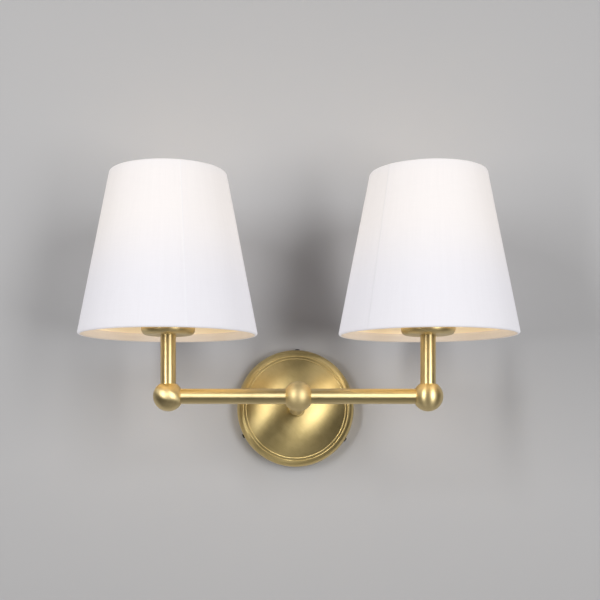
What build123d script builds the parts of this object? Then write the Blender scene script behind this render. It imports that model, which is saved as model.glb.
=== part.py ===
"""Double arm wall light.

A round spun backplate hangs on a slotted wall bracket.  One short tube carries a ball in front of the
plate, and a level bar runs through that ball to a ball at each end.  Each end ball carries an upright
with a small cup, a screw lampholder, a bulb and a tapered fabric shade clamped by its fitter ring.

Millimetres.  The wall is the plane y = 0, the room is towards -y, x runs right and z runs up.
The origin is the middle of the bracket's fixing slots, on the wall.
"""

from build123d import *
from math import asin, cos, sin, sqrt
import os

# ------------------------------------------------------------------ backplate, spun sheet
plate_radius = 54.0
plate_wall = 1.2
rim_depth = 10.0            # straight band of the rim, where the set screws sit
shoulder_width = 5.8        # rounded shoulder, seen from the front
shoulder_depth = 7.4        # rounded shoulder, seen from the side
bead_section = 0.6          # radius of each of the two fine beads between shoulder and dome
bead_spacing = 2.6          # from one bead to the other
dome_rise = 15.0
seat_radius = 8.5           # flat in the middle of the dome, where the arm stands

# ------------------------------------------------------------------ wall bracket, pressed steel
bracket_radius = 48.8
bracket_depth = 9.0
bracket_wall = 1.5
bracket_bend = 1.5          # inside radius of the pressed corner
cable_hole_radius = 11.0
slot_spacing = 60.0
slot_length = 14.0
slot_width = 5.0
earth_height = 30.0         # earth screw above the middle

# ------------------------------------------------------------------ set screws in the rim, M4
grub_radius = 2.0
grub_count = 3
grub_first_angle = 88.0     # the first is at the top, turned a little as it hangs in use
grub_from_wall = 4.6
grub_tip_gap = 0.15         # before it bites on the bracket
grub_proud = 1.3            # how far it stands out of the rim
grub_key_size = 2.0         # across the flats of the hexagon socket
grub_key_depth = 2.4

# ------------------------------------------------------------------ arm, bar and uprights
tube_radius = 6.35          # half-inch brass tube
tube_bore = 4.5
reach = 105.0               # wall to the axis of the bar
bar_rise = 9.0              # axis of the bar above the middle of the plate
arm_bend_run = 34.0         # length over which the arm climbs
arm_bend_radius = 60.0
arm_span = 107.5            # middle of the bar to an upright
upright_height = 50.5       # axis of the bar to the underside of the cup
ball_radius = 12.5
ball_flat = 10.3            # flats on a ball, from its centre

# ------------------------------------------------------------------ threaded nipples, M10 x 1
nipple_radius = 5.0
nipple_bore = 3.7
thread_gap = 0.04
nipple_in_ball = 4.8
nipple_in_tube = 7.0
nipple_past_nut = 2.5
washer_radius = 8.0
washer_thick = 0.9
washer_tooth = 1.45         # depth of the cuts between the teeth
nut_flats = 14.0
nut_height = 4.0

# ------------------------------------------------------------------ cup under the lampholder
cup_radius = 22.4
cup_wall = 1.0
cup_corner = 5.0
cup_height = 14.0

# ------------------------------------------------------------------ lampholder, heights above the cup's floor
holder_cap_radius = 18.6
holder_cap_height = 20.0
holder_cap_foot = 11.0      # radius of the flat the cap stands on
holder_floor = 3.0
holder_wall = 2.6
skirt_radius = 19.5         # outside of the thread that takes the rings
skirt_wall = 2.4
skirt_lip = 1.2             # turned-in lip at the mouth
holder_height = 53.0
insert_bottom = 11.0        # contact insert
insert_height = 12.0
insert_gap = 0.3
insert_chamfer = 0.8
shell_radius = 13.95        # screw shell, outside
shell_wall = 0.4
shell_height = 20.0
contact_width = 5.0
contact_length = 14.0
contact_thick = 0.5
contact_lift = 4.5
contact_bend = 0.9

# ------------------------------------------------------------------ shade rings on the lampholder
ring_radius = 24.4
ring_flange = 2.2
ring_height = 7.5
ring_collar = 2.2           # wall of the collar above the flange
ring_notches = 12
ring_notch_radius = 1.5
ring_clearance = 0.08       # turning fit on the skirt
fitter_height = 37.0        # seat of the shade's fitter above the cup's floor

# ------------------------------------------------------------------ shade
shade_height = 133.5
shade_drop = 95.5           # top of the shade above the seat of its fitter
shade_bottom_radius = 74.2
shade_top_radius = 48.2
fabric_thick = 0.5
lining_thick = 0.5
hem_turn = 7.0              # fabric turned in over the wires
wire_radius = 1.25
wire_gap = 0.05
arm_wire_radius = 1.2
fitter_bore_gap = 1.0       # the fitter ring hangs loose on the skirt
fitter_radius = 27.0
fitter_thick = 1.6
spider_arms = 3
spider_first_angle = 90.0   # one arm points at the wall
spider_foot = 34.0          # where each arm turns up, from the axis
spider_foot_bend = 5.0
spider_head = 12.0          # where each arm lies back along the wall, below the top
spider_head_bend = 14.0

# ------------------------------------------------------------------ bulb, candle shape on a large screw cap
lamp_gap = 0.1              # tip above the centre contact
lamp_tip_radius = 4.6
lamp_tip_height = 1.4
insulator_height = 3.0
cap_radius = 13.2
cap_height = 20.5
base_foot_radius = 13.9
base_radius = 16.6
base_height = 21.0
dome_radius = 17.5
dome_swell = 14.0           # widest point above the foot of the dome
dome_height = 46.0
dome_tip_radius = 3.0
dome_wall = 1.1

# ------------------------------------------------------------------ connector block and leads
pole_pitch = 10.0
poles = 3
block_depth = 12.0
block_height = 16.0
block_top = -21.0           # below the middle of the plate
lead_depth = 8.0            # leads and block, from the wall
pole_radius = 2.2
pole_bore = 1.65
tower_radius = 3.3
tower_height = 1.6
clamp_screw_radius = 1.5
clamp_screw_spread = 8.0
lead_radius = 1.6
lead_side = 1.75            # the two leads lie side by side in the arm
lead_stub = 3.0             # straight out of the block
lead_gather = 12.5          # above the block where the leads come together
lead_small_bend = 6.0
lead_plate_bend = 5.5
lead_middle_bend = 7.0
lead_end_bend = 10.0

# ------------------------------------------------------------------ places worked out from the sizes
BASE = (Align.CENTER, Align.CENTER, Align.MIN)
FROM_WALL = Rot(90, 0, 0)                       # turns a piece that stands on +Z to stand out from the wall
SIDES = (("left", -1), ("right", 1))

bead_radius = plate_radius - shoulder_width
face_depth = rim_depth + shoulder_depth         # wall to the foot of the dome
seat_depth = face_depth + dome_rise             # wall to the arm's seat
washer_back = seat_depth - plate_wall - washer_thick
nut_back = washer_back - nut_height
nipple_back = nut_back - nipple_past_nut
tap_radius = nipple_radius + thread_gap
bar_middle = Pos(0, -reach, bar_rise)
cup_bottom = bar_rise + upright_height
cup_floor = cup_bottom + cup_wall
insert_top = insert_bottom + insert_height
shell_inside = shell_radius - shell_wall
contact_top = insert_top + contact_lift
lamp_bottom = contact_top + lamp_gap
cap_bottom = lamp_bottom + lamp_tip_height + insulator_height
cap_top = cap_bottom + cap_height
shade_top = cup_floor + fitter_height + shade_drop
shade_bottom = shade_top - shade_height
shade_slope = (shade_bottom_radius - shade_top_radius) / shade_height
hem_width = 2 * fabric_thick + lining_thick + 2 * (wire_radius + wire_gap)
wire_inset = fabric_thick + lining_thick + wire_gap + wire_radius
wire_from_edge = fabric_thick + wire_gap + wire_radius
top_wire_height = shade_height - wire_from_edge
hem_round = fabric_thick + 0.85 * wire_radius   # rolled edge, seen in section
fabric_across = fabric_thick * sqrt(1 + shade_slope**2)


# ------------------------------------------------------------------ shape helpers
def outline_face(*edges):
    """Upright face from a closed outline drawn as (radius, height)."""
    return Plane.XZ * make_face(Curve() + list(edges))


def turned(*edges):
    """Solid of revolution about Z."""
    return revolve(outline_face(*edges), Axis.Z)


def turned_points(*points):
    """Solid of revolution about Z from straight runs."""
    return turned(Polyline(*points, close=True))


def pipe(outside, bore, length):
    """Straight tube that stands on z = 0."""
    return Cylinder(outside, length, align=BASE) - Cylinder(bore, length, align=BASE)


def swept(radius, path):
    """Round rod along a path."""
    start = Plane(origin=path @ 0, z_dir=path % 0)
    return sweep(start * Circle(radius), path=path)


def towards(direction):
    """Place at the origin whose z axis looks along a direction."""
    return Plane(origin=(0, 0, 0), z_dir=direction).location


def ring_of(count, first_angle=0.0):
    """Places round the z axis."""
    return [Rot(0, 0, first_angle + 360.0 * k / count) for k in range(count)]


def shade_radius(height):
    """Outside radius of the shade at a height above its lower edge."""
    return shade_bottom_radius - shade_slope * height


# ------------------------------------------------------------------ wall side
def make_wall_bracket():
    """Dished disc that is screwed to the wall; the set screws of the rim grip its edge."""
    edge = bracket_radius
    inner = bracket_radius - bracket_wall
    bend = bracket_bend + bracket_wall
    outside = FilletPolyline(
        (cable_hole_radius, 0), (edge, 0), (edge, bracket_depth), radius=bend)
    inside = FilletPolyline(
        (cable_hole_radius, bracket_wall), (inner, bracket_wall), (inner, bracket_depth),
        radius=bracket_bend)
    lip = Line(outside @ 1, inside @ 1)
    hole = Line(inside @ 0, outside @ 0)
    dish = turned(outside, lip, inside, hole)
    slot = extrude(SlotOverall(slot_length, slot_width), bracket_wall)
    for side in (-1, 1):
        dish -= Pos(side * slot_spacing / 2, 0, 0) * slot
    dish -= Pos(0, earth_height, 0) * Cylinder(grub_radius, bracket_wall, align=BASE)
    return FROM_WALL * dish


def make_earth_screw():
    """Cheese-head M4 screw for the supply's earth wire."""
    head_radius = 1.75 * grub_radius
    head_height = 1.2 * grub_radius
    stand = bracket_wall + washer_thick
    head = Pos(0, 0, stand) * Cylinder(head_radius, head_height, align=BASE)
    head = fillet(head.edges().group_by(Axis.Z)[-1], 0.25 * grub_radius)
    groove = Pos(0, 0, stand + head_height) * Box(2 * head_radius, 0.4 * grub_radius, head_height)
    shank = Cylinder(grub_radius - thread_gap, stand, align=BASE)
    return FROM_WALL * Pos(0, earth_height, 0) * (head - groove + shank)


def make_earth_washer():
    """Shakeproof washer with cut teeth under the earth screw."""
    outside = 2.2 * grub_radius
    washer = pipe(outside, grub_radius + thread_gap, washer_thick)
    notch = Pos(outside, 0, 0) * Cylinder(0.35 * grub_radius, washer_thick, align=BASE)
    for place in ring_of(8):
        washer -= place * notch
    return FROM_WALL * Pos(0, earth_height, bracket_wall) * washer


def make_backplate():
    """Spun plate: straight rim, rounded shoulder, two fine beads and shallow dome with a flat seat."""
    dome_drop = face_depth + dome_rise / 2 - (bead_radius**2 - seat_radius**2) / (2 * dome_rise)
    dome_ball = sqrt(bead_radius**2 + (face_depth - dome_drop) ** 2)
    middle = (asin(bead_radius / dome_ball) + asin(seat_radius / dome_ball)) / 2

    def skin(inset):
        """Outline of the spun sheet, outside or set in by its wall."""
        ball = dome_ball - inset
        foot = bead_radius - inset
        foot_height = dome_drop + sqrt(ball**2 - foot**2)
        rim = Line((plate_radius - inset, 0), (plate_radius - inset, rim_depth))
        shoulder = TangentArc(rim @ 1, (foot, foot_height), tangent=(0, 1))
        dome = ThreePointArc(
            (foot, foot_height),
            (ball * sin(middle), dome_drop + ball * cos(middle)),
            (seat_radius, seat_depth - inset))
        seat = Line((seat_radius, seat_depth - inset), (tap_radius, seat_depth - inset))
        return [rim, shoulder, dome, seat]

    outside = skin(0)
    inside = skin(plate_wall)
    lip = Line(outside[0] @ 0, inside[0] @ 0)
    hole = Line(outside[-1] @ 1, inside[-1] @ 1)
    plate = turned(*outside, hole, *inside, lip)
    screw_hole = Pos(0, 0, grub_from_wall) * Rot(0, 90, 0) * Cylinder(
        grub_radius + thread_gap, plate_radius + bead_section, align=BASE)
    for radius in (bead_radius, bead_radius - bead_spacing):
        crest = dome_drop + sqrt(dome_ball**2 - radius**2) - bead_section / 3
        plate += Pos(0, 0, crest) * Torus(radius, bead_section)
    for place in ring_of(grub_count, grub_first_angle):
        plate -= place * screw_hole
    return FROM_WALL * plate


def make_grub_screws():
    """Black socket set screws through the rim."""
    tip = bracket_radius + grub_tip_gap
    length = plate_radius + grub_proud - tip
    screw = Cylinder(grub_radius, length, align=BASE)
    screw = chamfer(screw.edges().group_by(Axis.Z)[0], 0.4 * grub_radius)
    screw = chamfer(screw.edges().group_by(Axis.Z)[-1], 0.1 * grub_radius)
    key = RegularPolygon(grub_key_size / 2, 6, major_radius=False)
    screw -= Pos(0, 0, length - grub_key_depth) * extrude(key, grub_key_depth)
    standing = Pos(0, 0, grub_from_wall) * Rot(0, 90, 0) * Pos(0, 0, tip) * screw
    return FROM_WALL * Compound(children=[
        place * standing for place in ring_of(grub_count, grub_first_angle)])


# ------------------------------------------------------------------ arm, balls and bars
def arm_points(side_step=0.0):
    """The arm leaves the plate square, climbs in a gentle double bend and meets the ball square."""
    halfway = (seat_depth + reach - ball_flat) / 2
    return [
        (side_step, -(halfway - arm_bend_run / 2), 0),
        (side_step, -(halfway + arm_bend_run / 2), bar_rise)]


def make_arm_tube():
    start = (0, -seat_depth, 0)
    end = (0, -(reach - ball_flat), bar_rise)
    path = FilletPolyline(start, *arm_points(), end, radius=arm_bend_radius)
    arm = swept(tube_radius, path) - swept(tube_bore, path)
    arm -= Pos(*start) * FROM_WALL * Cylinder(tap_radius, nipple_in_tube, align=BASE)
    arm -= Pos(*end) * FROM_WALL * Cylinder(
        tap_radius, nipple_in_tube, align=(Align.CENTER, Align.CENTER, Align.MAX))
    return arm


def make_arm_nipple():
    """Threaded tube that ties the arm to the plate and lets the leads through."""
    length = seat_depth + nipple_in_tube - nipple_back
    return FROM_WALL * Pos(0, 0, nipple_back) * pipe(nipple_radius, nipple_bore, length)


def make_arm_washer():
    washer = pipe(washer_radius, tap_radius, washer_thick)
    tooth_gap = Pos(washer_radius, 0, 0) * Box(
        washer_tooth, washer_thick, 2 * washer_thick)
    for place in ring_of(12):
        washer -= place * tooth_gap
    return FROM_WALL * Pos(0, 0, washer_back) * washer


def make_arm_locknut():
    nut = extrude(RegularPolygon(nut_flats / 2, 6, major_radius=False), nut_height)
    corner_trim = Cylinder(0.55 * nut_flats, nut_height, align=BASE)
    corner_trim = chamfer(corner_trim.edges().filter_by(GeomType.CIRCLE), 0.05 * nut_flats)
    nut = (nut & corner_trim) - Cylinder(tap_radius, nut_height, align=BASE)
    return FROM_WALL * Pos(0, 0, nut_back) * nut


def make_ball(*directions):
    """Solid ball with a flat and a tapped hole on each side that takes a tube."""
    ball = Sphere(ball_radius)
    for direction in directions:
        place = towards(direction)
        ball -= place * Pos(0, 0, ball_flat) * Cylinder(ball_radius, ball_radius, align=BASE)
    for direction in directions:
        ball -= towards(direction) * Cylinder(tap_radius, ball_radius, align=BASE)
    return ball


def make_joint_nipples():
    """Short threaded nipples, two thirds in the tube and one third in the ball."""
    nipple = Pos(0, 0, ball_flat - nipple_in_ball) * pipe(
        nipple_radius, nipple_bore, nipple_in_ball + nipple_in_tube)
    nipples = [bar_middle * towards(way) * nipple for way in ((-1, 0, 0), (1, 0, 0), (0, 1, 0))]
    for _, side in SIDES:
        corner = bar_middle * Pos(side * arm_span, 0, 0)
        nipples += [corner * towards(way) * nipple for way in ((-side, 0, 0), (0, 0, 1))]
    return Compound(children=nipples)


def make_tapped_tube(length):
    """Straight tube, tapped at both ends."""
    tube = pipe(tube_radius, tube_bore, length)
    tap = Cylinder(tap_radius, nipple_in_tube, align=BASE)
    return tube - tap - Pos(0, 0, length - nipple_in_tube) * tap


def make_bar(side):
    bar = make_tapped_tube(arm_span - 2 * ball_flat)
    return bar_middle * towards((side, 0, 0)) * Pos(0, 0, ball_flat) * bar


# ------------------------------------------------------------------ upright, cup and lampholder (z = 0 at the cup's floor)
def make_upright():
    length = upright_height - ball_flat
    return Pos(0, 0, -cup_wall - length) * make_tapped_tube(length)


def make_cup():
    """Shallow round cup with a rolled lower corner, open at the top."""
    depth = cup_height - cup_wall
    inner = cup_radius - cup_wall
    outside = FilletPolyline(
        (tap_radius, -cup_wall), (cup_radius, -cup_wall), (cup_radius, depth), radius=cup_corner)
    inside = FilletPolyline(
        (tap_radius, 0), (inner, 0), (inner, depth), radius=cup_corner - cup_wall)
    return turned(outside, Line(outside @ 1, inside @ 1), inside, Line(inside @ 0, outside @ 0))


def make_cup_nipple():
    bottom = -cup_wall - nipple_in_tube
    return Pos(0, 0, bottom) * pipe(nipple_radius, nipple_bore, insert_bottom - insert_gap - bottom)


def make_holder_cap():
    """Lower half of the lampholder, screwed on the nipple."""
    outer = holder_cap_radius
    inner = holder_cap_radius - holder_wall
    bowl = ThreePointArc(
        (holder_cap_foot, 0),
        (holder_cap_foot + 0.78 * (outer - holder_cap_foot), 0.28 * insert_bottom),
        (outer, insert_bottom))
    well = FilletPolyline(
        (tap_radius, holder_floor), (inner - 0.25 * holder_cap_foot, holder_floor),
        (inner, insert_bottom), (inner, holder_cap_height), radius=holder_wall)
    return turned(
        Line((tap_radius, 0), bowl @ 0),
        bowl,
        Line(bowl @ 1, (outer, holder_cap_height)),
        Line((outer, holder_cap_height), well @ 1),
        well,
        Line(well @ 0, (tap_radius, 0)))


def make_holder_skirt():
    """Upper half of the lampholder; its outside is the thread for the two shade rings."""
    inner = skirt_radius - skirt_wall
    mouth = holder_height - skirt_wall
    return turned_points(
        (inner, holder_cap_height),
        (skirt_radius, holder_cap_height),
        (skirt_radius, mouth + 0.5 * skirt_wall),
        (skirt_radius - 0.5 * skirt_wall, holder_height),
        (inner - skirt_lip, holder_height),
        (inner - skirt_lip, mouth + 0.5 * skirt_wall),
        (inner, mouth - skirt_wall))


def make_contact_insert():
    """Ceramic disc that carries the screw shell and the centre contact."""
    radius = holder_cap_radius - holder_wall - insert_gap
    disc = Pos(0, 0, insert_bottom) * Cylinder(radius, insert_height, align=BASE)
    disc = chamfer(disc.edges().filter_by(GeomType.CIRCLE), insert_chamfer)
    wire_well = Pos(0, 0, insert_bottom) * Cylinder(
        nipple_bore, insert_height / 2, align=BASE)
    terminal = Pos(0, 0, insert_bottom) * Cylinder(grub_radius, insert_height / 3, align=BASE)
    for side in (-1, 1):
        disc -= Pos(side * radius * 0.62, 0, 0) * terminal
    return disc - wire_well


def make_screw_shell():
    return Pos(0, 0, insert_top) * pipe(shell_radius, shell_inside, shell_height)


def make_centre_contact():
    """Spring strip that rises in a bow under the lamp's tip."""
    half = contact_length / 2
    bow = contact_lift - contact_thick
    foot = half * 0.4
    lower = [(-half, 0), (-foot, 0), (-foot / 2, bow), (foot / 2, bow), (foot, 0), (half, 0)]
    spine = FilletPolyline(*lower, radius=contact_bend)
    strip = offset(spine, contact_thick, side=Side.LEFT, closed=True)
    face = Plane.XZ * make_face(strip)
    spring = extrude(face, contact_width / 2, both=True)
    return Pos(0, 0, insert_top) * spring


def make_shade_ring():
    """Threaded ring with a flange and a notched collar; stands on its flange at z = 0."""
    bore = skirt_radius + ring_clearance
    collar = bore + ring_collar
    ring = pipe(ring_radius, bore, ring_flange) + pipe(collar, bore, ring_height)
    ring = chamfer(ring.edges().group_by(Axis.Z)[0].sort_by(SortBy.RADIUS)[-1], 0.3 * ring_flange)
    notch = Pos(ring_radius, 0, 0) * Cylinder(ring_notch_radius, ring_flange, align=BASE)
    for place in ring_of(ring_notches):
        ring -= place * notch
    return ring


def make_lower_ring():
    """Screwed up from below, flange on top: the seat of the shade."""
    return Pos(0, 0, fitter_height) * Rot(180, 0, 0) * make_shade_ring()


def make_upper_ring():
    """Screwed down on the fitter from above."""
    return Pos(0, 0, fitter_height + fitter_thick) * make_shade_ring()


# ------------------------------------------------------------------ shade (z = 0 at its lower edge)
def make_shade_cover():
    """Fabric cone with both edges rolled inwards over the wires."""
    bottom_fold = (shade_radius(hem_turn) - hem_width, hem_turn)
    top_fold = (shade_radius(shade_height - hem_turn) - hem_width, shade_height - hem_turn)
    skin = FilletPolyline(
        bottom_fold,
        (shade_bottom_radius - hem_width, 0),
        (shade_bottom_radius, 0),
        (shade_top_radius, shade_height),
        (shade_top_radius - hem_width, shade_height),
        top_fold,
        radius=hem_round)
    return revolve(Plane.XZ * make_face(offset(skin, fabric_thick, side=Side.LEFT, closed=True)), Axis.Z)


def make_shade_lining():
    """Stiff translucent liner just inside the fabric."""
    bottom = 1.3 * hem_round
    top = shade_height - hem_round
    outer = fabric_across + 0.2 * wire_gap
    inner = outer + lining_thick
    return turned_points(
        (shade_radius(bottom) - outer, bottom),
        (shade_radius(top) - outer, top),
        (shade_radius(top) - inner, top),
        (shade_radius(bottom) - inner, bottom))


def make_edge_wire(height):
    """Wire ring held in a fold of the fabric, at a height above the lower edge."""
    return Pos(0, 0, height) * Torus(shade_radius(height) - wire_inset, wire_radius)


def make_fitter_ring():
    """Flat ring that the two shade rings clamp on the lampholder."""
    bore = skirt_radius + fitter_bore_gap
    return Pos(0, 0, shade_height - shade_drop) * pipe(fitter_radius, bore, fitter_thick)


def make_spider_arms(*rings):
    """Three bent wires, each notched over the fitter ring below and over the upper wire ring above."""
    arm_height = shade_height - shade_drop + fitter_thick / 2
    head_height = shade_height - spider_head
    path = Plane.XZ * FilletPolyline(
        (fitter_radius - arm_wire_radius, arm_height),
        (spider_foot, arm_height),
        (shade_radius(head_height) - wire_inset, head_height),
        (shade_radius(top_wire_height) - wire_inset, top_wire_height),
        radius=[spider_foot_bend, spider_head_bend])
    arm = swept(arm_wire_radius, path)
    for ring in rings:
        arm -= ring
    arm = arm.solids().sort_by(SortBy.VOLUME)[-1]
    return Compound(children=[place * arm for place in ring_of(spider_arms, spider_first_angle)])


# ------------------------------------------------------------------ bulb (z = 0 at the cup's floor)
def make_bulb_cap():
    """Screw cap with its insulator and tip."""
    tip_top = lamp_bottom + lamp_tip_height
    return turned_points(
        (0, lamp_bottom),
        (lamp_tip_radius, lamp_bottom),
        (lamp_tip_radius, tip_top),
        (cap_radius - insulator_height, cap_bottom - 0.5 * insulator_height),
        (cap_radius, cap_bottom),
        (cap_radius, cap_top),
        (0, cap_top))


def make_bulb_base():
    """White housing of the driver, flaring from the cap to the dome."""
    top = cap_top + base_height
    flare = Spline(
        (base_foot_radius, cap_top), (base_radius, top),
        tangents=[(0.15, 1), (0.05, 1)])
    return turned(Line((0, cap_top), flare @ 0), flare, Line(flare @ 1, (0, top)), Line((0, top), (0, cap_top)))


def make_bulb_dome():
    """Opal diffuser, candle shaped."""
    foot = cap_top + base_height
    top = foot + dome_height
    flame = Spline(
        (base_radius, foot),
        (dome_radius, foot + dome_swell),
        (dome_tip_radius * 1.6, top - 1.2 * dome_tip_radius),
        (0, top),
        tangents=[(0.2, 1), (-1, 0)])
    inside = Spline(
        (base_radius - dome_wall, foot),
        (dome_radius - dome_wall, foot + dome_swell),
        (dome_tip_radius * 1.6 - dome_wall, top - 1.2 * dome_tip_radius - 0.4 * dome_wall),
        (0, top - dome_wall),
        tangents=[(0.2, 1), (-1, 0)])
    return turned(flame, Line(flame @ 1, inside @ 1), inside, Line(inside @ 0, flame @ 0))


# ------------------------------------------------------------------ connector block and leads
def pole_places():
    """Middle of each pole, looking down on the block from above."""
    first = -pole_pitch * (poles - 1) / 2
    return [Pos(first + pole_pitch * k, -lead_depth, block_top) for k in range(poles)]


def clamp_places():
    """Two clamping screws on each pole, on the room side."""
    middle = block_top - block_height / 2
    places = []
    for pole in pole_places():
        for step in (-1, 1):
            spot = (pole.position.X, -lead_depth, middle + step * clamp_screw_spread / 2)
            places.append(Pos(*spot) * FROM_WALL)
    return places


def make_terminal_block():
    """Moulded block: three poles in a row with a screw tower over each clamping screw."""
    body = Box(
        poles * pole_pitch, block_depth, block_height,
        align=(Align.CENTER, Align.CENTER, Align.MAX))
    body = Pos(0, -lead_depth, block_top) * body
    body = fillet(body.edges().filter_by(Axis.X), 0.2 * block_height)
    waist = Cylinder(0.12 * pole_pitch, block_depth * 2)
    for k in range(1, poles):
        between = pole_pitch * (k - poles / 2)
        spot = Pos(between, -lead_depth, block_top - block_height / 2)
        body -= spot * Rot(90, 0, 0) * waist
    face = block_depth / 2
    for place in clamp_places():
        body += place * Cylinder(tower_radius, face + tower_height, align=BASE)
    for place in clamp_places():
        body -= place * Cylinder(
            clamp_screw_radius + thread_gap, face + tower_height, align=BASE)
    for place in pole_places():
        body -= place * Cylinder(pole_radius + thread_gap, 2 * block_height)
    return body


def make_terminal_inserts():
    """Brass tube of each pole."""
    tube = Pos(0, 0, -block_height + tower_height) * pipe(
        pole_radius, pole_bore, block_height - 2 * tower_height)
    inserts = Compound(children=[place * tube for place in pole_places()])
    for place in clamp_places():
        inserts -= place * Cylinder(
            clamp_screw_radius + thread_gap, block_depth, align=BASE)
    return inserts


def make_terminal_screws():
    """Slotted clamping screws, backed out to leave the poles open."""
    top = block_depth / 2 + tower_height / 2
    screw = Pos(0, 0, pole_bore) * Cylinder(clamp_screw_radius, top - pole_bore, align=BASE)
    screw -= Pos(0, 0, top) * Box(2 * clamp_screw_radius, 0.3 * clamp_screw_radius, clamp_screw_radius)
    return Compound(children=[place * screw for place in clamp_places()])


def make_lead(side):
    """One sheathed lead, from the block through arm, ball, bar, end ball and upright to the insert."""
    pole = side * pole_pitch * (poles - 1) / 2
    inner = side * lead_side
    upright = side * arm_span
    path = FilletPolyline(
        (pole, -lead_depth, block_top),
        (pole, -lead_depth, block_top + lead_stub),
        (inner, -lead_depth, block_top + lead_gather),
        (inner, -lead_depth, 0),
        *arm_points(inner),
        (inner, -reach, bar_rise),
        (upright, -reach, bar_rise),
        (upright, -reach, cup_floor + insert_bottom + insert_height / 2),
        radius=[
            lead_small_bend, lead_small_bend, lead_plate_bend,
            arm_bend_radius, arm_bend_radius, lead_middle_bend, lead_end_bend])
    return swept(lead_radius, path)


# ------------------------------------------------------------------ all pieces
def make_pieces():
    """Every piece in its place, by node name."""
    pieces = {
        "wall_bracket": make_wall_bracket(),
        "earth_screw": make_earth_screw(),
        "earth_washer": make_earth_washer(),
        "backplate": make_backplate(),
        "grub_screws": make_grub_screws(),
        "arm_nipple": make_arm_nipple(),
        "arm_washer": make_arm_washer(),
        "arm_locknut": make_arm_locknut(),
        "arm_tube": make_arm_tube(),
        "centre_ball": bar_middle * make_ball((-1, 0, 0), (1, 0, 0), (0, 1, 0)),
        "joint_nipples": make_joint_nipples(),
        "terminal_block": make_terminal_block(),
        "terminal_inserts": make_terminal_inserts(),
        "terminal_screws": make_terminal_screws(),
    }
    on_cup = {
        "upright": make_upright(),
        "cup": make_cup(),
        "cup_nipple": make_cup_nipple(),
        "holder_cap": make_holder_cap(),
        "holder_skirt": make_holder_skirt(),
        "contact_insert": make_contact_insert(),
        "screw_shell": make_screw_shell(),
        "centre_contact": make_centre_contact(),
        "lower_ring": make_lower_ring(),
        "upper_ring": make_upper_ring(),
        "bulb_cap": make_bulb_cap(),
        "bulb_base": make_bulb_base(),
        "bulb_dome": make_bulb_dome(),
    }
    fitter_ring = make_fitter_ring()
    top_wire = make_edge_wire(top_wire_height)
    on_shade = {
        "fitter_ring": fitter_ring,
        "spider_arms": make_spider_arms(fitter_ring, top_wire),
        "top_wire": top_wire,
        "hem_wire": make_edge_wire(wire_from_edge),
        "shade_lining": make_shade_lining(),
        "shade_cover": make_shade_cover(),
    }
    for name, side in SIDES:
        upright = Pos(side * arm_span, -reach, 0)
        pieces[f"bar_{name}"] = make_bar(side)
        pieces[f"end_ball_{name}"] = upright * Pos(0, 0, bar_rise) * make_ball((-side, 0, 0), (0, 0, 1))
        pieces[f"lead_{name}"] = make_lead(side)
        for piece, shape in on_cup.items():
            pieces[f"{piece}_{name}"] = upright * Pos(0, 0, cup_floor) * shape
        for piece, shape in on_shade.items():
            pieces[f"{piece}_{name}"] = upright * Pos(0, 0, shade_bottom) * shape
    return pieces


os.makedirs("parts", exist_ok=True)
for node, shape in make_pieces().items():
    export_step(shape, f"parts/{node}.step")
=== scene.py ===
"""Double arm wall light: woven shades, threads, finishes, bulbs, wall, lamps and camera.

Metres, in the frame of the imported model: the wall is the plane y = 0, the room is towards -y.
"""
from math import atan2, cos, pi, radians, sin, tau

import bpy
from mathutils import Matrix, Vector


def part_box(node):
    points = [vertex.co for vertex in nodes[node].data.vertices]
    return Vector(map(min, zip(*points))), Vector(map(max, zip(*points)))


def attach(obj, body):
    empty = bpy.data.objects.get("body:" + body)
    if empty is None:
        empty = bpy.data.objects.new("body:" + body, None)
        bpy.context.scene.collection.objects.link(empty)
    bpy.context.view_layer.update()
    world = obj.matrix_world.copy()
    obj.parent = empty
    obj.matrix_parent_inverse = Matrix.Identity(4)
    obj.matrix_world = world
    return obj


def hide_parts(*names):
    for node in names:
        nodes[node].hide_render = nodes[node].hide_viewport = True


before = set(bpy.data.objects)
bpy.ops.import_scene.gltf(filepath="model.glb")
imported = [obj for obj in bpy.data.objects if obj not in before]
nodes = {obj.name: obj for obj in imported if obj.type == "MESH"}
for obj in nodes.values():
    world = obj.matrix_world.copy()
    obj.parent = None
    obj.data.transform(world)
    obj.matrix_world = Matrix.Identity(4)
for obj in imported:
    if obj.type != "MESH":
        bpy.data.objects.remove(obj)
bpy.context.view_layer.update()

MM = 0.001
SIDES = ("left", "right")


def middle(node):
    """Middle of a node's box."""
    low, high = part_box(node)
    return (Vector(low) + Vector(high)) / 2


def low_z(node):
    """Height of a node's lowest point."""
    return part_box(node)[0][2]


def high_z(node):
    """Height of a node's highest point."""
    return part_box(node)[1][2]


# ------------------------------------------------------------------ camera
CAMERA_PLACE = (-0.0206, -0.895, -0.010)
CAMERA_LENS = 57.3
CAMERA_SHIFT = (0.0446, 0.1988)

camera = bpy.data.objects.new("camera", bpy.data.cameras.new("camera"))
bpy.context.collection.objects.link(camera)
camera.location = CAMERA_PLACE
camera.rotation_euler = (radians(90), 0, 0)         # level, square on to the wall
camera.data.lens = CAMERA_LENS
camera.data.shift_x, camera.data.shift_y = CAMERA_SHIFT
camera.data.clip_start = 0.01
bpy.context.scene.camera = camera


# ------------------------------------------------------------------ small helpers for node trees
FLOAT, VECTOR = "NodeSocketFloat", "NodeSocketVector"
UNIT = (0.0, 1.0)
WIDE, MEDIUM, NARROW = (0.3, 0.7), (0.35, 0.65), (0.38, 0.62)     # where most values of a noise lie


def put(tree, socket, value):
    """Sets an input, by a link if the value is a socket."""
    if isinstance(value, bpy.types.NodeSocket):
        tree.links.new(value, socket)
    else:
        socket.default_value = value


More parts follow.
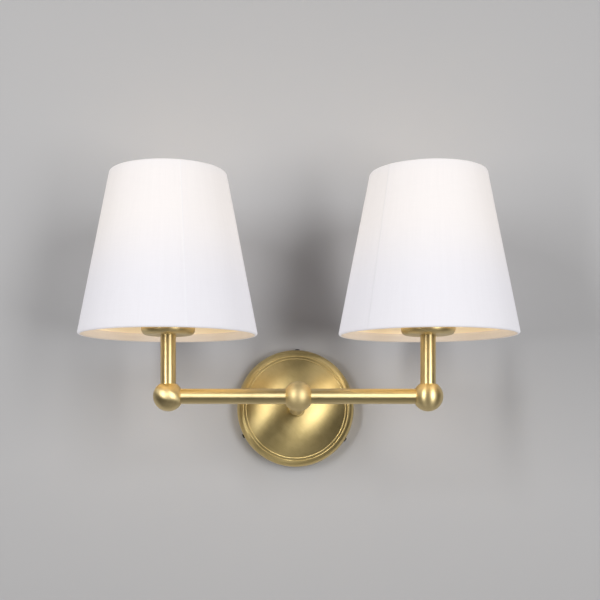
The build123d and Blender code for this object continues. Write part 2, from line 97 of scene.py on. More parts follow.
def add(tree, kind, settings=None, **inputs):
    """New node; inputs are named by the socket, with _ for a space, or by its number as in i0."""
    made = tree.nodes.new(kind)
    for key, value in (settings or {}).items():
        setattr(made, key, value)
    for key, value in inputs.items():
        name = int(key[1:]) if key[0] == "i" and key[1:].isdigit() else key.replace("_", " ")
        put(tree, made.inputs[name], value)
    return made


def math(tree, operation, first, second=0.0, third=0.0):
    """Result of a sum on values or sockets."""
    return add(tree, "ShaderNodeMath", {"operation": operation}, i0=first, i1=second, i2=third).outputs[0]


def weighted(tree, share, first, second):
    """Two values added up, the first by its share and the second by the rest."""
    return math(tree, "MULTIPLY_ADD", first, share, math(tree, "MULTIPLY", second, 1.0 - share))


def remap(tree, value, span, new_span=UNIT, smooth=False):
    """A value whose span is stretched to a new one and held at its ends."""
    return add(
        tree, "ShaderNodeMapRange", {"interpolation_type": "SMOOTHSTEP" if smooth else "LINEAR"},
        Value=value, From_Min=span[0], From_Max=span[1], To_Min=new_span[0], To_Max=new_span[1]).outputs[0]


def opaque(colour):
    """A colour with its alpha; a socket stays as it is."""
    return (*colour, 1) if isinstance(colour, tuple) else colour


def blend(tree, share, first, second):
    """Mix of two colours, through the Mix node's colour sockets 6, 7 and 2."""
    made = add(tree, "ShaderNodeMix", {"data_type": "RGBA"}, Factor=share, i6=opaque(first), i7=opaque(second))
    return made.outputs[2]


def noise(tree, vector, scale, detail, roughness):
    """Values of a noise."""
    made = add(tree, "ShaderNodeTexNoise", Vector=vector, Scale=scale, Detail=detail, Roughness=roughness)
    return made.outputs[0]


def place_of(tree):
    """Position in the piece's own space."""
    return tree.nodes.new("ShaderNodeTexCoord").outputs["Object"]


def parts_of(tree, vector):
    """A vector's x, y and z."""
    return add(tree, "ShaderNodeSeparateXYZ", i0=vector).outputs


def vector_of(tree, x, y, z):
    """The vector of x, y and z."""
    return add(tree, "ShaderNodeCombineXYZ", X=x, Y=y, Z=z).outputs[0]


def new_group(name, inputs, outputs):
    """Empty shader group with named sockets; returns its tree, its inputs and its output node."""
    tree = bpy.data.node_groups.new(name, "ShaderNodeTree")
    for title, kind, value in inputs:
        socket = tree.interface.new_socket(name=title, in_out="INPUT", socket_type=kind)
        socket.default_value = value
    for title in outputs:
        tree.interface.new_socket(name=title, in_out="OUTPUT", socket_type=FLOAT)
    return tree, tree.nodes.new("NodeGroupInput").outputs, tree.nodes.new("NodeGroupOutput").inputs


def use(tree, group, **values):
    """Places a shared group with its own values."""
    made = tree.nodes.new("ShaderNodeGroup")
    made.node_tree = group
    for key, value in values.items():
        put(tree, made.inputs[key], value)
    return made.outputs


# ------------------------------------------------------------------ shared effects
def make_satin():
    """Satin brushing: fine lines drawn out where the stretch is small, cloudy handling marks, and a height."""
    tree, given, out = new_group(
        "satin_brushing",
        [("place", VECTOR, (0, 0, 0)), ("stretch", VECTOR, (1, 1, 1)), ("line scale", FLOAT, 900.0)],
        ["lines", "clouds", "height"])
    along = add(tree, "ShaderNodeVectorMath", {"operation": "MULTIPLY"}, i0=given["place"], i1=given["stretch"])
    lines = noise(tree, along.outputs[0], given["line scale"], 4.0, 0.65)
    broad = noise(tree, given["place"], 46.0, 3.0, 0.55)
    patchy = noise(tree, given["place"], 190.0, 2.0, 0.5)
    put(tree, out["lines"], remap(tree, lines, WIDE))
    put(tree, out["clouds"], remap(tree, weighted(tree, 0.35, patchy, broad), MEDIUM))
    put(tree, out["height"], weighted(tree, 0.15, patchy, lines))
    return tree


def make_spinning():
    """Lathe lines round the y axis: fine grooves by distance from the axis, a little broken up round it."""
    per_metre, round_it = 1000.0, 0.35
    tree, given, out = new_group("spinning_lines", [("place", VECTOR, (0, 0, 0))], ["lines", "height"])
    x, _, z = parts_of(tree, given["place"])
    off_axis = math(tree, "SQRT", math(
        tree, "ADD", math(tree, "MULTIPLY", x, x), math(tree, "MULTIPLY", z, z)))
    turn = math(tree, "ARCTAN2", z, x)
    rolled = vector_of(
        tree, math(tree, "MULTIPLY", off_axis, per_metre),
        math(tree, "MULTIPLY", math(tree, "SINE", turn), round_it),
        math(tree, "MULTIPLY", math(tree, "COSINE", turn), round_it))
    fine = noise(tree, rolled, 2.6, 4.0, 0.7)
    broad = noise(tree, rolled, 0.45, 2.0, 0.5)
    put(tree, out["lines"], remap(tree, fine, WIDE))
    put(tree, out["height"], weighted(tree, 0.55, fine, broad))
    return tree


def make_weave():
    """Plain weave with slubs on a cone round the z axis: threads up the cone and round it, in millimetres."""
    warp_per_mm, weft_per_mm, per_metre = 1.9, 1.7, 1000.0
    warp_drawn_out, weft_drawn_out, elsewhere = 0.035, 0.05, 3.7        # of the slubs along each thread
    tree, given, out = new_group(
        "slub_weave",
        [("place", VECTOR, (0, 0, 0)), ("radius mm", FLOAT, 62.0)],
        ["threads", "slubs", "height"])
    x, y, z = parts_of(tree, given["place"])
    across = math(tree, "MULTIPLY", math(tree, "ARCTAN2", y, x), given["radius mm"])
    up = math(tree, "MULTIPLY", z, per_metre)
    wander = noise(tree, given["place"], 160.0, 2.0, 0.5)
    bent = math(tree, "MULTIPLY_ADD", wander, 0.5, across)
    risen = math(tree, "MULTIPLY_ADD", wander, 0.4, up)
    warp = math(tree, "SINE", math(tree, "MULTIPLY", bent, tau * warp_per_mm))
    weft = math(tree, "SINE", math(tree, "MULTIPLY", risen, tau * weft_per_mm))
    threads = math(tree, "MULTIPLY_ADD", math(tree, "MULTIPLY", warp, weft), 0.5, 0.5)
    tall = vector_of(tree, across, math(tree, "MULTIPLY", up, warp_drawn_out), 0.0)
    streaks = weighted(tree, 0.62, noise(tree, tall, 1.35, 3.0, 0.6), noise(tree, tall, 0.32, 2.0, 0.5))
    flat = vector_of(tree, math(tree, "MULTIPLY", across, weft_drawn_out), up, elsewhere)
    slubs = weighted(tree, 0.28, noise(tree, flat, 1.1, 3.0, 0.6), streaks)
    put(tree, out["threads"], threads)
    put(tree, out["slubs"], remap(tree, slubs, NARROW))
    put(tree, out["height"], weighted(tree, 0.35, threads, slubs))
    return tree


def make_mould():
    """Moulded or coated surface: fine grain, soft mottling and settled dust on what faces up."""
    tree, given, out = new_group(
        "mould_grain",
        [("place", VECTOR, (0, 0, 0)), ("grain scale", FLOAT, 1500.0), ("mottle scale", FLOAT, 70.0)],
        ["grain", "mottle", "dust"])
    mottle = noise(tree, given["place"], given["mottle scale"], 3.0, 0.55)
    facing = parts_of(tree, tree.nodes.new("ShaderNodeNewGeometry").outputs["Normal"])
    top = remap(tree, facing[2], (0.35, 0.95), smooth=True)
    put(tree, out["grain"], noise(tree, given["place"], given["grain scale"], 2.0, 0.5))
    put(tree, out["mottle"], remap(tree, mottle, MEDIUM))
    put(tree, out["dust"], math(tree, "MULTIPLY", top, remap(tree, mottle, (0.4, 0.7), (0.2, 0.8))))
    return tree


satin_group = make_satin()
spinning_group = make_spinning()
weave_group = make_weave()
mould_group = make_mould()


# ------------------------------------------------------------------ finishes
def new_finish(name):
    """Material with its tree and its Principled shader."""
    material = bpy.data.materials.new(name)
    material.use_nodes = True
    return material, material.node_tree, material.node_tree.nodes["Principled BSDF"]


def bump(tree, shader, height, distance, strength=1.0):
    """Relief of a height over the whole surface."""
    made = add(tree, "ShaderNodeBump", Height=height, Distance=distance, Strength=strength)
    put(tree, shader.inputs["Normal"], made.outputs[0])


BALL_GRAIN, TUBE_GRAIN, ZINC_GRAIN = 0.000004, 0.0000008, 0.00001       # depths of the brushing
SPUN_SHARE = 0.3                                                        # of lathe lines in a spun piece
CLOUD_ROUGH, GRAIN_ROUGH, MOTTLE_ROUGH, DUST_ROUGH = 0.05, 0.03, 0.08, 0.4      # what each adds to roughness


def metal(
        name, colours, rough, stretch, lines=900.0, depth=BALL_GRAIN, spun=False,
        lean=0.0, axis="Z", shine=None):
    """Brushed metal: its roughness, and its colour between a light and a dark one, vary with the brushing.

    lean spreads the shine along the axis that the piece was brushed round, or else along the direction shine.
    """
    light, dark = colours
    material, tree, shader = new_finish(name)
    place = place_of(tree)
    if shine:
        turned = add(tree, "ShaderNodeVectorRotate", {"rotation_type": "Y_AXIS"}, Vector=place)
        turned.inputs["Angle"].default_value = atan2(shine[2], shine[0])
        place = turned.outputs[0]
    brushed = use(tree, satin_group, **{"place": place, "stretch": stretch, "line scale": lines})
    grain, height = brushed["lines"], brushed["height"]
    if spun:
        spinning = use(tree, spinning_group, place=place)
        grain = weighted(tree, SPUN_SHARE, spinning["lines"], grain)
        height = weighted(tree, SPUN_SHARE, spinning["height"], height)
    tone = weighted(tree, 0.5, grain, brushed["clouds"])
    put(tree, shader.inputs["Base Color"], blend(tree, tone, dark, light))
    spread = math(tree, "MULTIPLY_ADD", brushed["clouds"], CLOUD_ROUGH, rough - (CLOUD_ROUGH + GRAIN_ROUGH) / 2)
    put(tree, shader.inputs["Roughness"], math(tree, "MULTIPLY_ADD", grain, GRAIN_ROUGH, spread))
    shader.inputs["Metallic"].default_value = 1.0
    if lean:
        shader.inputs["Anisotropic"].default_value = lean
        if shine:
            tangent = vector_of(tree, *shine)
        else:
            shader.inputs["Anisotropic Rotation"].default_value = 0.25          # a quarter turn
            tangent = add(tree, "ShaderNodeTangent", {"direction_type": "RADIAL", "axis": axis}).outputs[0]
        put(tree, shader.inputs["Tangent"], tangent)
    bump(tree, shader, height, depth)
    return material


DUST = (0.45, 0.42, 0.38)


def moulded(name, colour, shade, rough, grain=1500.0, depth=0.00002, dust=0.25):
    """Plastic, ceramic or coated wire, with grain, mottling and a little dust."""
    material, tree, shader = new_finish(name)
    made = use(tree, mould_group, **{"place": place_of(tree), "grain scale": grain})
    dusty = math(tree, "MULTIPLY", made["dust"], dust)
    body = blend(tree, made["mottle"], colour, shade)
    put(tree, shader.inputs["Base Color"], blend(tree, dusty, body, DUST))
    spread = math(tree, "MULTIPLY_ADD", made["mottle"], MOTTLE_ROUGH, rough)
    put(tree, shader.inputs["Roughness"], math(tree, "MULTIPLY_ADD", dusty, DUST_ROUGH, spread))
    bump(tree, shader, made["grain"], depth)
    return material


SATIN_BRASS = ((0.86, 0.70, 0.375), (0.75, 0.595, 0.30))
SPUN_BRASS = ((0.88, 0.70, 0.33), (0.74, 0.575, 0.245))
TURNED_BRASS = ((0.86, 0.66, 0.30), (0.74, 0.54, 0.22))
ZINC = ((0.66, 0.67, 0.69), (0.50, 0.51, 0.53))
BLACK = ((0.035, 0.034, 0.036), (0.018, 0.018, 0.02))
NICKEL = ((0.74, 0.71, 0.66), (0.62, 0.59, 0.54))

brass_bar = metal(
    "satin_brass_bar", SATIN_BRASS, 0.42, (0.003, 1, 1), depth=TUBE_GRAIN, lean=0.75, axis="X")
brass_upright = metal("satin_brass_upright", SATIN_BRASS, 0.46, (1, 1, 0.003), depth=TUBE_GRAIN, lean=0.7)
brass_arm = metal(
    "satin_brass_arm", SATIN_BRASS, 0.46, (1, 0.003, 1), depth=TUBE_GRAIN, lean=0.6, axis="Y")
brass_ball = metal("satin_brass_ball", SATIN_BRASS, 0.46, (0.2, 0.2, 1), lean=0.6)
brass_ball_middle = metal("satin_brass_ball_middle", SATIN_BRASS, 0.58, (0.2, 0.2, 1), lean=0.25)
brass_ball_left = metal(
    "satin_brass_ball_left", SATIN_BRASS, 0.43, (1, 0.2, 0.2), lean=0.75, shine=(0.9, 0, -0.43))
brass_cup = metal("satin_brass_cup", SATIN_BRASS, 0.42, (0.3, 0.3, 1), lean=0.4)
brass_plate = metal(
    "spun_brass", SPUN_BRASS, 0.42, (1, 1, 0.06), lines=700.0, spun=True, lean=0.75, shine=(0.64, 0, 0.77))
turned_brass = metal("turned_brass", TURNED_BRASS, 0.24, (1, 0.2, 1))
zinc = metal("zinc_steel", ZINC, 0.36, (1, 1, 1), lines=260.0, depth=ZINC_GRAIN)
black_oxide = metal("black_oxide", BLACK, 0.42, (1, 1, 1), lines=1400.0)
nickel = metal("nickel_plate", NICKEL, 0.22, (1, 1, 0.2))
holder_plastic = moulded("holder_plastic", (0.84, 0.83, 0.79), (0.78, 0.77, 0.73), 0.48)
ceramic = moulded("insert_ceramic", (0.86, 0.84, 0.78), (0.78, 0.75, 0.69), 0.6, grain=900.0, depth=0.00005)
bulb_plastic = moulded("bulb_plastic", (0.90, 0.90, 0.88), (0.86, 0.86, 0.84), 0.33)
white_wire = moulded("white_wire", (0.85, 0.85, 0.83), (0.79, 0.79, 0.76), 0.38, grain=1100.0, depth=0.00004)
lead_sheath = moulded("lead_sheath", (0.76, 0.75, 0.71), (0.70, 0.69, 0.65), 0.5)
block_nylon = moulded("block_nylon", (0.86, 0.85, 0.78), (0.80, 0.78, 0.71), 0.42)
insulator = moulded("cap_insulator", (0.05, 0.045, 0.05), (0.03, 0.028, 0.03), 0.18, dust=0.0)


def make_shade_fabric():
    """White slub weave over a liner, with a painted glow in its emission: even all over, whiter and warmer
    where the bulb glows through, less under the seam's lap, and cream on the turned-in hem.
    """
    cloth_thin, cloth_thick, thread = (0.382, 0.382, 0.406), (0.404, 0.404, 0.430), (0.47, 0.47, 0.49)
    # emission colours of the painted glow: even all over, full where the bulb shines through, and on the
    # turned-in hem
    painted_even_glow, lit, painted_hem_glow = (0.458, 0.443, 0.462), (0.555, 0.508, 0.466), (0.435, 0.345, 0.255)
    glow_rises, glow_falls = (0.028, 0.098), (0.122, 0.136)         # heights above the lower hem
    material, tree, shader = new_finish("shade_fabric")
    place = place_of(tree)
    woven = use(tree, weave_group, place=place)
    cloth = blend(tree, woven["slubs"], cloth_thin, cloth_thick)
    put(tree, shader.inputs["Base Color"], blend(
        tree, math(tree, "MULTIPLY", woven["threads"], 0.08), cloth, thread))
    put(tree, shader.inputs["Roughness"], remap(tree, woven["threads"], UNIT, (0.82, 0.95)))
    shader.inputs["Specular IOR Level"].default_value = 0.25
    shader.inputs["Sheen Weight"].default_value = 0.12
    shader.inputs["Sheen Roughness"].default_value = 0.5
    height = parts_of(tree, place)[2]
    rise = remap(tree, height, glow_rises, smooth=True)
    crown = remap(tree, height, glow_falls, (1.0, 0.75), smooth=True)
    through = math(tree, "MULTIPLY", rise, crown)
    thin = remap(tree, woven["slubs"], UNIT, (0.96, 1.03))
    lap = add(tree, "ShaderNodeAttribute", {"attribute_name": "lap"}).outputs["Fac"]
    inside = add(tree, "ShaderNodeAttribute", {"attribute_name": "inside"}).outputs["Fac"]
    # painted glow: rises with height, falls a little at the crown, follows the slubs, and is dimmed under the
    # seam's lap as a painted shadow
    glow = math(tree, "MULTIPLY", math(tree, "MULTIPLY", through, thin), remap(tree, lap, UNIT, (1.0, 0.6)))
    put(tree, shader.inputs["Emission Color"], blend(tree, inside, blend(tree, glow, painted_even_glow, lit), painted_hem_glow))
    shader.inputs["Emission Strength"].default_value = 1.0
    bump(tree, shader, woven["height"], 0.00009, 0.8)
    return material


def make_shade_liner():
    """Cream translucent film behind the fabric, with a painted glow in its emission for the bulb's light,
    weaker near the hem.
    """
    cream, deep_cream, glow = (0.86, 0.80, 0.66), (0.83, 0.76, 0.61), (0.33, 0.262, 0.185)
    foot, glow_rise = low_z("shade_cover_left"), 0.10
    material, tree, shader = new_finish("shade_liner")
    place = place_of(tree)
    made = use(tree, mould_group, **{"place": place, "grain scale": 700.0, "mottle scale": 24.0})
    put(tree, shader.inputs["Base Color"], blend(tree, made["mottle"], cream, deep_cream))
    put(tree, shader.inputs["Roughness"], remap(tree, made["grain"], WIDE, (0.5, 0.62)))
    shader.inputs["Specular IOR Level"].default_value = 0.3
    # painted glow of the bulb's light: 0.75 at the hem, rising to 1.15 higher up, and mottled
    near = remap(tree, parts_of(tree, place)[2], (foot, foot + glow_rise), (0.75, 1.15), smooth=True)
    lit = math(tree, "MULTIPLY", near, remap(tree, made["mottle"], UNIT, (0.96, 1.04)))
    put(tree, shader.inputs["Emission Color"], blend(tree, lit, (0.0, 0.0, 0.0), glow))
    shader.inputs["Emission Strength"].default_value = 1.0
    bump(tree, shader, made["grain"], 0.00002)
    return material


def make_opal():
    """Opal diffuser of the bulb, lit from inside; a little dimmer towards its foot."""
    opal_light, opal_dark, glow = (0.93, 0.90, 0.84), (0.90, 0.87, 0.80), (1.0, 0.80, 0.55)
    foot, glow_rise = low_z("bulb_dome_left"), 0.016
    material, tree, shader = new_finish("opal_diffuser")
    place = place_of(tree)
    made = use(tree, mould_group, place=place)
    put(tree, shader.inputs["Base Color"], blend(tree, made["mottle"], opal_light, opal_dark))
    put(tree, shader.inputs["Roughness"], remap(tree, made["grain"], WIDE, (0.38, 0.46)))
    full = remap(tree, parts_of(tree, place)[2], (foot, foot + glow_rise), (0.45, 1.0), smooth=True)
    put(tree, shader.inputs["Emission Color"], blend(tree, full, (0.0, 0.0, 0.0), glow))
    shader.inputs["Emission Strength"].default_value = 5.0
    bump(tree, shader, made["grain"], 0.00001)
    return material


fabric = make_shade_fabric()
liner = make_shade_liner()
opal = make_opal()


# ------------------------------------------------------------------ mesh helpers
def new_piece(name, points, faces, finish, place=(0, 0, 0), turn=0.0, smooth=True):
    """Mesh piece, turned about z and placed; the turn goes into its points, so that its box stays true."""
    mesh = bpy.data.meshes.new(name)
    spin = Matrix.Rotation(turn, 3, "Z")
    mesh.from_pydata([tuple(spin @ Vector(p)) for p in points], [], faces)
    mesh.update()
    if smooth:
        mesh.shade_smooth()
    mesh.materials.append(finish)
    piece = bpy.data.objects.new(name, mesh)
    piece.location = place
    bpy.context.collection.objects.link(piece)
    return piece


def ring_faces(rows, columns, closed=True):
    """Faces between rows of points that go round an axis; closed also joins the last row to the first."""
    faces = []
    for i in range(rows if closed else rows - 1):
        a, b = i * columns, ((i + 1) % rows) * columns
        for k in range(columns):
            n = (k + 1) % columns
            faces.append((a + k, a + n, b + n, b + k))
    return faces


def turned_mesh(profile, segments):
    """Points and faces of an open profile of (radius, height), turned about z."""
    points = []
    for radius, height in profile:
        for k in range(segments):
            angle = tau * k / segments
            points.append((radius * cos(angle), radius * sin(angle), height))
    return points, ring_faces(len(profile), segments, closed=False)


def rounded(corners, radius, steps=7):
    """Path of (radius, height) points through straight runs with rounded corners."""
    path = [Vector(corners[0])]
    for before, corner, after in zip(corners, corners[1:], corners[2:]):
        before, corner, after = Vector(before), Vector(corner), Vector(after)
        back, on = (before - corner).normalized(), (after - corner).normalized()
        half = back.angle(on) / 2
        centre = corner + (back + on).normalized() * radius / sin(half)
        first = corner + back * radius * cos(half) / sin(half) - centre
        last = corner + on * radius * cos(half) / sin(half) - centre
        sweep = atan2(first.x * last.y - first.y * last.x, first.dot(last))
        for k in range(steps + 1):
            a = sweep * k / steps
            path.append(centre + Vector((
                first.x * cos(a) - first.y * sin(a), first.x * sin(a) + first.y * cos(a))))
    path.append(Vector(corners[-1]))
    return path


def set_off(path, distance):
    """The path moved sideways to its left."""
    moved = []
    for k, point in enumerate(path):
        ahead = path[min(k + 1, len(path) - 1)] - path[max(k - 1, 0)]
        side = Vector((-ahead.y, ahead.x)).normalized()
        moved.append(point + side * distance)
    return moved


def filled_in(path, longest):
    """The path with points added, so that its runs are about that long at most."""
    full = [path[0]]
    for a, b in zip(path, path[1:]):
        steps = max(1, round((b - a).length / longest))
        full += [a.lerp(b, (k + 1) / steps) for k in range(steps)]
    return full


# ------------------------------------------------------------------ shades with rolled hems and a lapped seam
SHADE_FOOT, SHADE_HEAD = 74.2 * MM, 48.2 * MM           # outer radii of the cloth
SHADE_TALL = high_z("shade_cover_left") - low_z("shade_cover_left")
FABRIC = 0.5 * MM                                       # thickness
HEM_TURN, HEM_DEEP, HEM_ROUND = 7.0 * MM, 4.1 * MM, 1.5625 * MM         # height turned in, depth, edge radius
RUN, COLUMNS = 3.0 * MM, 330                            # longest run of the profile, even columns round it
SEAM_EDGE, SEAM_CREASE, SEAM_WIDTH, SEAM_EASE = 0.003, 0.012, 0.085, 0.03       # angles round the cone
SEAM_STEP, SEAM_FULL = 0.12 * MM, 0.2                   # how far the lap stands out, and from which share of it
SEAM_AZIMUTH = {"left": 17.0, "right": -48.0}           # degrees from straight ahead, towards the right
SAGS = ((0.06 * MM, 5, 40), (0.05 * MM, 11, -25))       # size, waves round the cone, their lean up it


def make_fabric_mesh():
    """Outer skin, rolled edges and turned-in hems, with the lap of the seam on the -x side.

    Its masks say for each point how thick the lap lies there, which dims the painted glow there, and whether it
    is on the inside, which gets a painted cream glow.
    """
    slope = (SHADE_FOOT - SHADE_HEAD) / SHADE_TALL
    corners = [
        (SHADE_FOOT - slope * HEM_TURN - HEM_DEEP, HEM_TURN),
        (SHADE_FOOT - HEM_DEEP, 0),
        (SHADE_FOOT, 0),
        (SHADE_HEAD, SHADE_TALL),
        (SHADE_HEAD - HEM_DEEP, SHADE_TALL),
        (SHADE_HEAD + slope * HEM_TURN - HEM_DEEP, SHADE_TALL - HEM_TURN)]
    skin = filled_in(rounded(corners, HEM_ROUND), RUN)
    profile = [tuple(p) for p in skin] + [tuple(p) for p in reversed(set_off(skin, FABRIC))]

    # columns round the cone, each with its share of the lap: close ones over the seam, and then even ones; the
    # share also dims the painted glow, a painted shadow of the lapped seam
    end = SEAM_WIDTH + SEAM_EASE
    seam = [
        (0.0, 0.0), (SEAM_EDGE, 1.0), (SEAM_CREASE, 0.9), (SEAM_CREASE + SEAM_EDGE, 0.2),
        (SEAM_WIDTH, 0.12), (end, 0.0)]
    columns = [(pi + angle, share) for angle, share in seam]
    columns += [(pi + end + (tau - end) * k / COLUMNS, 0.0) for k in range(1, COLUMNS)]
    points, laps, insides = [], [], []
    for row, (radius, height) in enumerate(profile):
        on_skin = row < len(skin)
        turned_in = radius < SHADE_FOOT - slope * height - 0.6 * HEM_DEEP or not on_skin
        for angle, share in columns:
            step = SEAM_STEP * min(1.0, share / SEAM_FULL) if on_skin else 0.0
            sag = sum(size * sin(waves * angle + lean * height) for size, waves, lean in SAGS)
            r = radius + step + sag
            points.append((r * cos(angle), r * sin(angle), height))
            laps.append(share if on_skin else 0.0)
            insides.append(1.0 if turned_in else 0.0)
    return points, ring_faces(len(profile), len(columns)), {"lap": laps, "inside": insides}


fabric_points, fabric_faces, fabric_masks = make_fabric_mesh()
for side in SIDES:
    centre = middle(f"hem_wire_{side}")
    foot = low_z(f"shade_cover_{side}")
    facing = radians(-90 + SEAM_AZIMUTH[side]) - pi
    cover = new_piece(
        f"woven_shade_{side}", fabric_points, fabric_faces, fabric, (centre.x, centre.y, foot), facing)
    for mask, values in fabric_masks.items():
        cover.data.attributes.new(mask, "FLOAT", "POINT").data.foreach_set("value", values)
    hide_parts(f"shade_cover_{side}")
    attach(cover, f"shade_{side}")


# ------------------------------------------------------------------ rolled and moulded threads
def threaded_sleeve(profile_out, profile_in, pitch, depth, start, end, segments=96, both=False):
    """Sleeve whose outside carries a helical thread between two heights; both also threads the inside."""
    def groove(height, angle):
        if not start <= height <= end:
            return 0.0
        fade = min(1.0, (height - start) / pitch, (end - height) / pitch)
        return depth * (fade * (0.5 - 0.5 * cos(tau * (height / pitch - angle / tau))))

    profile = profile_out + profile_in
    points = []
    for row, (radius, height) in enumerate(profile):
        cut = row < len(profile_out) or both
        for k in range(segments):
            angle = tau * k / segments
            r = radius - groove(height, angle) if cut else radius
            points.append((r * cos(angle), r * sin(angle), height))
    return points, ring_faces(len(profile), segments)


def ladder(radius, low, high, step):
    """Points up a straight wall."""
    count = max(1, round((high - low) / step))
    return [(radius, low + (high - low) * k / count) for k in range(count + 1)]


# radii of the walls, and depths and pitches of the threads
SKIRT_OUT, SKIRT_IN, SKIRT_THREAD, SKIRT_PITCH = 19.5 * MM, 17.1 * MM, 0.55 * MM, 2.5 * MM
SHELL_OUT, SHELL_IN, SHELL_THREAD = 13.95 * MM, 13.55 * MM, 0.28 * MM
CAP_OUT, CAP_IN, CAP_NECK, CAP_THREAD = 13.2 * MM, 12.6 * MM, 10.6 * MM, 0.75 * MM
SCREW_PITCH = 3.63 * MM                         # of the bulb's cap and of the shell that takes it
SKIRT_LIP = 1.2 * MM                            # at the skirt's head
CAP_SILL = 4.4 * MM                             # from the cap's tip up to its metal wall
SLACK, PIN = 0.05 * MM, 0.02 * MM               # room round the insulator, and radius next to the axis
TIP = (
    (PIN, 0), (3.2 * MM, 0.1 * MM), (4.3 * MM, 0.5 * MM), (4.6 * MM, 1.0 * MM),
    (4.6 * MM, 1.5 * MM), (PIN, 1.5 * MM))


def skirt_mesh(foot, head):
    """Skirt of the lampholder, with the moulded thread that the shade rings run on."""
    out_wall = ladder(SKIRT_OUT, foot, head - SKIRT_LIP, 0.3 * MM)
    out_wall += [(SKIRT_OUT - 0.4 * SKIRT_LIP, head - 0.3 * SKIRT_LIP), (SKIRT_OUT - SKIRT_LIP, head)]
    in_wall = [(SKIRT_IN - SKIRT_LIP, head), (SKIRT_IN - SKIRT_LIP, head - SKIRT_LIP)]
    in_wall += [(SKIRT_IN, head - 3 * SKIRT_LIP), (SKIRT_IN, foot)]
    return threaded_sleeve(
        out_wall, in_wall, SKIRT_PITCH, SKIRT_THREAD, foot + 0.5 * MM, head - 1.5 * MM, segments=120)


def shell_mesh(foot, head):
    """Screw shell of rolled sheet, so its thread shows on both faces."""
    out_wall = ladder(SHELL_OUT, foot, head, 0.4 * MM)
    in_wall = list(reversed(ladder(SHELL_IN, foot, head, 0.4 * MM)))
    return threaded_sleeve(
        out_wall, in_wall, SCREW_PITCH, SHELL_THREAD, foot + 1.0 * MM, head - 0.8 * MM, both=True)


def cap_mesh(sill, head):
    """Rolled screw cap of the bulb, above its insulator."""
    out_wall = [(CAP_NECK, sill - 1.1 * MM), (CAP_OUT - 1.0 * MM, sill - 0.6 * MM)]
    out_wall += ladder(CAP_OUT, sill, head, 0.38 * MM)
    in_wall = [(CAP_IN, head), (CAP_IN, sill + 0.4 * MM), (CAP_NECK, sill - 0.5 * MM)]
    return threaded_sleeve(out_wall, in_wall, SCREW_PITCH, CAP_THREAD, sill + 0.6 * MM, head - 2.2 * MM)


def insulator_mesh(foot, sill, head):
    """Dark insulator in the foot of the cap."""
    return turned_mesh([
        (PIN, head - 1.0 * MM), (CAP_IN - SLACK, head - 1.0 * MM), (CAP_IN - SLACK, sill + 0.3 * MM),
        (CAP_NECK - SLACK, sill - 1.2 * MM), (7.2 * MM, foot + 2.0 * MM), (5.0 * MM, foot + 1.3 * MM),
        (PIN, foot + 1.3 * MM)], 64)


for side in SIDES:
    centre = middle(f"holder_skirt_{side}")
    place = (centre.x, centre.y, 0)
    foot, head = low_z(f"holder_skirt_{side}"), high_z(f"holder_skirt_{side}")
    skirt = new_piece(f"threaded_skirt_{side}", *skirt_mesh(foot, head), holder_plastic, place)
    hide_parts(f"holder_skirt_{side}")
    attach(skirt, "fitting")

    foot, head = low_z(f"screw_shell_{side}"), high_z(f"screw_shell_{side}")
    shell = new_piece(f"rolled_shell_{side}", *shell_mesh(foot, head), nickel, place)
    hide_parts(f"screw_shell_{side}")
    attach(shell, "fitting")

    foot, head = low_z(f"bulb_cap_{side}"), high_z(f"bulb_cap_{side}")
    sill = foot + CAP_SILL
    cap = new_piece(f"rolled_cap_{side}", *cap_mesh(sill, head), nickel, place)
    base = new_piece(f"cap_insulator_{side}", *insulator_mesh(foot, sill, head), insulator, place)
    tip = new_piece(f"cap_tip_{side}", *turned_mesh([(r, foot + rise) for r, rise in TIP], 48), nickel, place)
    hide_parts(f"bulb_cap_{side}")
    for piece in (cap, base, tip):
        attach(piece, f"bulb_{side}")


# ------------------------------------------------------------------ finishes of the carried nodes
finish_of = {
    "wall_bracket": zinc, "earth_screw": turned_brass, "earth_washer": zinc, "backplate": brass_plate,
    "grub_screws": black_oxide, "arm_nipple": zinc, "arm_washer": zinc, "arm_locknut": turned_brass,
    "arm_tube": brass_arm, "centre_ball": brass_ball_middle, "end_ball_left": brass_ball_left,
    "end_ball_right": brass_ball, "joint_nipples": zinc, "terminal_block": block_nylon,
    "terminal_inserts": turned_brass, "terminal_screws": zinc}
finish_on_each_side = {
    "bar": brass_bar, "lead": lead_sheath, "upright": brass_upright, "cup": brass_cup, "cup_nipple": zinc,
    "holder_cap": holder_plastic, "holder_skirt": holder_plastic, "contact_insert": ceramic,
    "screw_shell": nickel, "centre_contact": turned_brass, "lower_ring": holder_plastic,
    "upper_ring": holder_plastic, "bulb_cap": nickel, "bulb_base": bulb_plastic, "bulb_dome": opal,
    "fitter_ring": white_wire, "spider_arms": white_wire, "top_wire": white_wire, "hem_wire": white_wire,
    "shade_lining": liner, "shade_cover": fabric}
for name, finish in finish_on_each_side.items():
    for side in SIDES:
        finish_of[f"{name}_{side}"] = finish
for name, finish in finish_of.items():
    for slot in nodes[name].material_slots:
        slot.material = finish


# ------------------------------------------------------------------ wall and floor
WALL_HOLE = 0.044                           # radius of the hole for the supply
WALL_PLANE = 0.0003                         # just behind the bracket, so that their faces don't coincide
WALL_HALF, WALL_HEAD, FLOOR_LEVEL, FLOOR_HALF = 1.8, 1.8, -1.3, 3


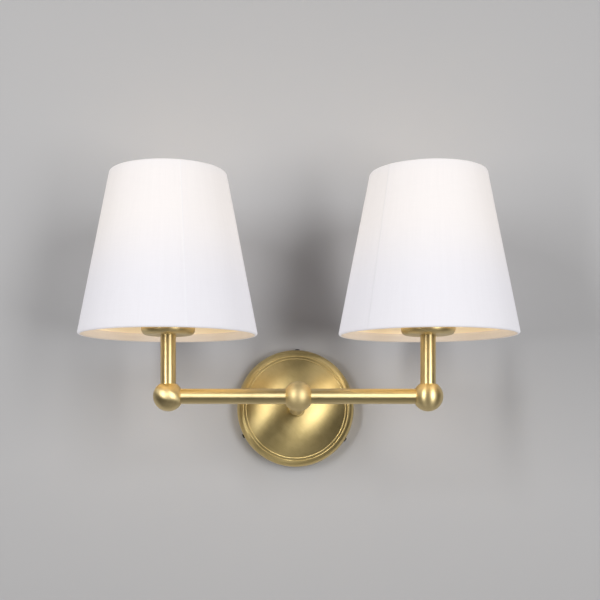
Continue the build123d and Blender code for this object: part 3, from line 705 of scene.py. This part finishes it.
def make_wall():
    """Painted wall with a round hole for the supply behind the plate, and clear when seen from behind."""
    material, tree, shader = new_finish("wall_paint")
    place = place_of(tree)
    fine = noise(tree, place, 900.0, 3.0, 0.6)
    broad = noise(tree, place, 3.0, 2.0, 0.5)
    put(tree, shader.inputs["Base Color"], blend(tree, broad, (0.487, 0.483, 0.488), (0.507, 0.503, 0.508)))
    put(tree, shader.inputs["Roughness"], remap(tree, fine, WIDE, (0.88, 0.96)))
    shader.inputs["Specular IOR Level"].default_value = 0.15
    bump(tree, shader, fine, 0.00005, 0.4)
    seen_from_behind = tree.nodes.new("ShaderNodeNewGeometry").outputs["Backfacing"]
    clear = tree.nodes.new("ShaderNodeBsdfTransparent")
    mix = add(tree, "ShaderNodeMixShader", i0=seen_from_behind, i1=shader.outputs[0], i2=clear.outputs[0])
    tree.links.new(mix.outputs[0], tree.nodes["Material Output"].inputs["Surface"])

    # rays from the hole's edge to the wall's edges
    steps, nearly_zero = 96, 1e-6
    points, faces = [], []
    for k in range(steps):
        x, z = cos(tau * k / steps), sin(tau * k / steps)
        reach = WALL_HEAD if z > 0 else -FLOOR_LEVEL
        grow = min(WALL_HALF / max(abs(x), nearly_zero), reach / max(abs(z), nearly_zero))
        points += [(WALL_HOLE * x, WALL_PLANE, WALL_HOLE * z), (grow * x, WALL_PLANE, grow * z)]
    for k in range(steps):
        n = (k + 1) % steps
        faces.append((2 * k, 2 * k + 1, 2 * n + 1, 2 * n))
    return new_piece("wall", points, faces, material, smooth=False)


def make_floor():
    """Pale floor below the view; it looks pale also where the lamps don't reach."""
    material, tree, shader = new_finish("floor_paint")
    grain = noise(tree, place_of(tree), 14.0, 4.0, 0.55)
    put(tree, shader.inputs["Base Color"], blend(tree, grain, (0.56, 0.555, 0.55), (0.60, 0.595, 0.59)))
    put(tree, shader.inputs["Roughness"], remap(tree, grain, WIDE, (0.7, 0.85)))
    shader.inputs["Emission Color"].default_value = (0.40, 0.40, 0.405, 1)
    seen = tree.nodes.new("ShaderNodeLightPath").outputs["Is Camera Ray"]
    tree.links.new(seen, shader.inputs["Emission Strength"])
    points = [(FLOOR_HALF * x, FLOOR_HALF * y, FLOOR_LEVEL) for x, y in ((-1, -1), (1, -1), (1, 1), (-1, 1))]
    return new_piece("floor", points, [(0, 1, 2, 3)], material, smooth=False)


wall = make_wall()
floor = make_floor()


# ------------------------------------------------------------------ light
LIGHT_AIM = (0, -0.05, 0.08)


def softbox(name, place, wide, tall, watts):
    """Soft rectangular light, turned to the shades and hidden from the camera."""
    data = bpy.data.lights.new(name, "AREA")
    data.shape, data.size, data.size_y = "RECTANGLE", wide, tall
    data.energy = watts
    lamp = bpy.data.objects.new(name, data)
    lamp.location = place
    lamp.rotation_euler = (Vector(LIGHT_AIM) - Vector(place)).to_track_quat("-Z", "Y").to_euler()
    lamp.visible_camera = False
    bpy.context.collection.objects.link(lamp)


def make_room():
    """Faint warm fill light from all round, and the pale room that shows beyond the wall."""
    world = bpy.data.worlds.new("room")
    world.use_nodes = True
    tree = world.node_tree
    fill, beyond = tree.nodes["Background"], tree.nodes.new("ShaderNodeBackground")
    for background, tint, strength in (
            (fill, (1.0, 0.95, 0.89, 1), 0.045), (beyond, (0.97, 0.98, 1.0, 1), 0.5)):
        background.inputs["Color"].default_value = tint
        background.inputs["Strength"].default_value = strength
    seen = tree.nodes.new("ShaderNodeLightPath").outputs["Is Camera Ray"]
    mix = add(tree, "ShaderNodeMixShader", i0=seen, i1=fill.outputs[0], i2=beyond.outputs[0])
    tree.links.new(mix.outputs[0], tree.nodes["World Output"].inputs["Surface"])
    bpy.context.scene.world = world


softbox("box_left", (-0.775, -1.092, 0.319), 0.14, 0.91, 9.9)
softbox("box_right", (0.718, -1.253, 0.184), 0.46, 1.04, 13.0)
make_room()
bpy.context.scene.view_settings.view_transform = "Standard"
